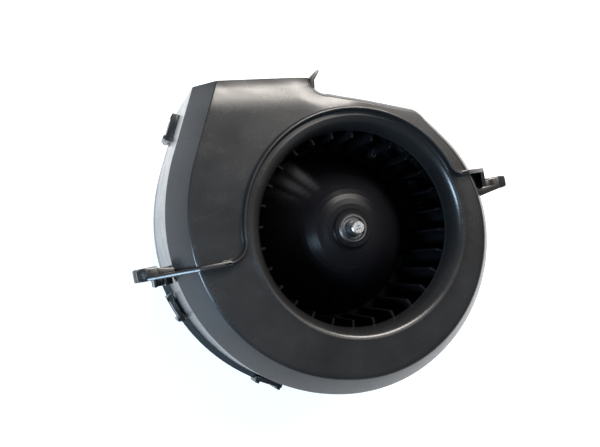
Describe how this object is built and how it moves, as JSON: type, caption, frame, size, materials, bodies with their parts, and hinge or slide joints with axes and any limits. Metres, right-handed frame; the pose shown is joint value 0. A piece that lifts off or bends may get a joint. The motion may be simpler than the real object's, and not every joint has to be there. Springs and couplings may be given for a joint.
{
  "type": "scroll blower",
  "caption": "Scroll blower with a bell-mouth inlet, a side outlet duct, a squirrel-cage wheel with forward-curved blades and an enclosed permanent-magnet motor.",
  "frame": {"origin": "centre of the flat end of the motor cup, on the wheel axis", "axes": "+Z along the wheel axis out of the inlet, +Y towards the outlet, +X towards the start of the scroll"},
  "size_m": [0.229, 0.1913, 0.133],
  "materials": {
    "housing": "satin moulded, fine grain",
    "housing_rear": "satin moulded",
    "wheel": "semi-gloss moulded",
    "collar_steel": "turned, dull",
    "shaft_steel": "ground",
    "spring_steel": "rolled",
    "rubber": "matt",
    "zinc_steel": "zinc plated",
    "can_steel": "zinc plated, drawn",
    "ferrite": "sintered",
    "core_steel": "laminated",
    "copper": "enamelled wire",
    "insulator": "pressed",
    "commutator_copper": "turned",
    "washer_plastic": "natural",
    "bronze": "sintered, oiled",
    "card": "phenolic board",
    "carbon": "graphite",
    "capacitor_coat": "dipped",
    "terminal_brass": "tinned brass"
  },
  "bodies": {
    "housing": {"front_shell": "housing", "rear_shell": "housing_rear", "motor_cup": "housing_rear", "isolators": "rubber", "flange_screws": "zinc_steel", "motor_can": "can_steel", "can_screws": "zinc_steel", "end_cap": "can_steel", "magnet_a": "ferrite", "magnet_b": "ferrite", "front_bearing": "bronze", "rear_bearing": "bronze", "bearing_clips": "spring_steel", "brush_card": "card", "brush_a": "carbon", "brush_b": "carbon", "spring_a": "spring_steel", "spring_b": "spring_steel", "chokes": "copper", "capacitor": "capacitor_coat", "terminals": "terminal_brass"},
    "rotor": {"impeller": "wheel", "hub_collar": "collar_steel", "motor_shaft": "shaft_steel", "shaft_clip": "spring_steel", "balance_clips": "spring_steel", "armature_core": "core_steel", "armature_windings": "copper", "slot_insulators": "insulator", "commutator": "commutator_copper", "thrust_washers": "washer_plastic"}
  },
  "joints": [
    {"name": "wheel_spin", "type": "hinge", "parent": "housing", "child": "rotor", "pos_m": [0, 0, 0.08], "axis": [0, 0, 1], "continuous": true}
  ]
}
